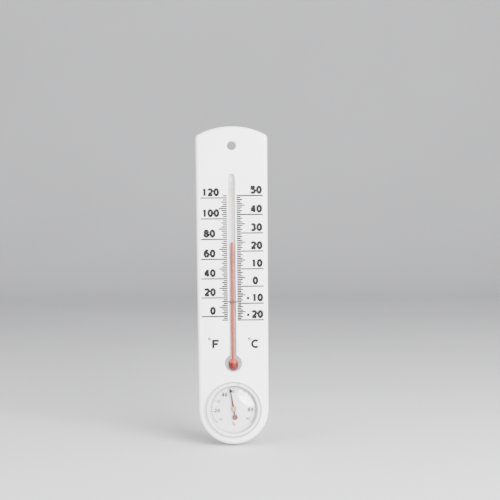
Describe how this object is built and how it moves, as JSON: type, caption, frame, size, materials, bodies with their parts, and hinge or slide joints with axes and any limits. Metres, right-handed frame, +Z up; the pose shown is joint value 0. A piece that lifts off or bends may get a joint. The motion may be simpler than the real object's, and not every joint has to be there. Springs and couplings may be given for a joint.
{
  "type": "wall thermometer",
  "caption": "Wall thermometer: a tall white plastic body with a red spirit-in-glass tube between twin temperature scales, and a small round humidity dial at its foot.",
  "frame": {"origin": "on the axis of the hang hole, in the plane of the wall", "axes": "+Z up the body, +Y into the wall behind it; the scales face -Y"},
  "size_m": [0.0564, 0.017, 0.25],
  "materials": {
    "body_white": "moulded satin",
    "case_white": "moulded gloss",
    "dial_print": "satin",
    "clear_cover": "clear moulded plastic",
    "tube_glass": "clear",
    "red_spirit": "clear dyed liquid",
    "pointer_red": "enamel",
    "brass": "turned",
    "steel": "plain",
    "coil_foil": "coated foil",
    "clip_wire": "enamelled copper wire",
    "adhesive": "cured"
  },
  "bodies": {
    "case": {"body_shell": "body_white", "dial_case": "case_white", "dial_plate": "dial_print", "dial_cover": "clear_cover", "dial_bush": "brass", "friction_washer": "steel", "glass_tube": "tube_glass", "spirit_bulb": "red_spirit", "tube_clip": "clip_wire", "tube_adhesive": "adhesive"},
    "spirit": {"spirit_column": "red_spirit", "spirit_meniscus": "red_spirit"},
    "calibrator": {"calibration_arm": "steel", "humidity_coil": "coil_foil"},
    "indicator": {"pointer": "pointer_red", "pointer_hub": "brass", "tip_washer": "brass", "spindle": "steel", "coil_collet": "brass"}
  },
  "joints": [
    {"name": "spirit_rise", "type": "slide", "parent": "case", "child": "spirit", "axis": [0, 0, 1], "range_m": [-0.0611, 0.0364], "deforming": ["spirit_column"]},
    {"name": "calibration_adjust", "type": "hinge", "parent": "case", "child": "calibrator", "pos_m": [0, -0.007, -0.2073], "axis": [0, 1, 0], "range_deg": [-20, 20]},
    {"name": "humidity_turn", "type": "hinge", "parent": "calibrator", "child": "indicator", "pos_m": [0, -0.007, -0.2073], "axis": [0, 1, 0], "range_deg": [-151.05, 166.95], "deforming": ["humidity_coil"]}
  ]
}
